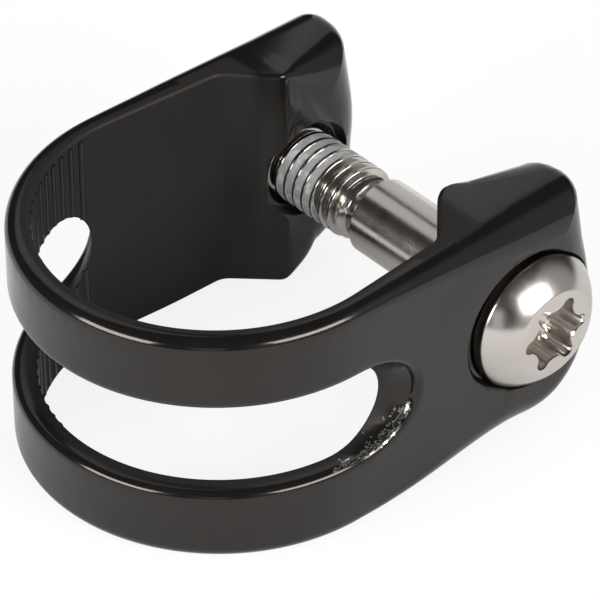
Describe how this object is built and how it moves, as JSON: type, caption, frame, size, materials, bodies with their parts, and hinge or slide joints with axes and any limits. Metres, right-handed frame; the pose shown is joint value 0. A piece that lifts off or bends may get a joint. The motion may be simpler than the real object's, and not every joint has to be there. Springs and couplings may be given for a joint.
{
  "type": "brake lever clamp",
  "caption": "One-piece band clamp with a window slot, two ears and a button-head bolt across them, for holding a brake lever on a bicycle handlebar.",
  "frame": {"origin": "centre of the handlebar bore, half way along the band's width", "axes": "+Z along the handlebar, +X from the bar towards the clamp bolt, Y along the bolt with its head on the -Y ear; the part stands on its -Z edge"},
  "size_m": [0.0317, 0.0274, 0.0162],
  "materials": {
    "black_aluminium": "smooth semi-gloss black over aluminium",
    "stainless_steel": "polished stainless steel",
    "thread_lock": "matt grey thread-locking coating"
  },
  "bodies": {
    "clamp": {"clamp_band": "black_aluminium"},
    "coating": {"thread_coating": "thread_lock"},
    "bolt": {"clamp_bolt": "stainless_steel"}
  },
  "joints": [
    {"name": "bolt_travel", "type": "slide", "parent": "clamp", "child": "coating", "axis": [0, -1, 0], "range_m": [0, 0.004]},
    {"name": "bolt_turn", "type": "hinge", "parent": "coating", "child": "bolt", "pos_m": [0.0138, 0, 0], "axis": [0, -1, 0], "range_deg": [0, 1800]}
  ],
  "couplings": [
    {"joint": "bolt_turn", "follows": "bolt_travel", "rad_per_m": 7853.9}
  ]
}
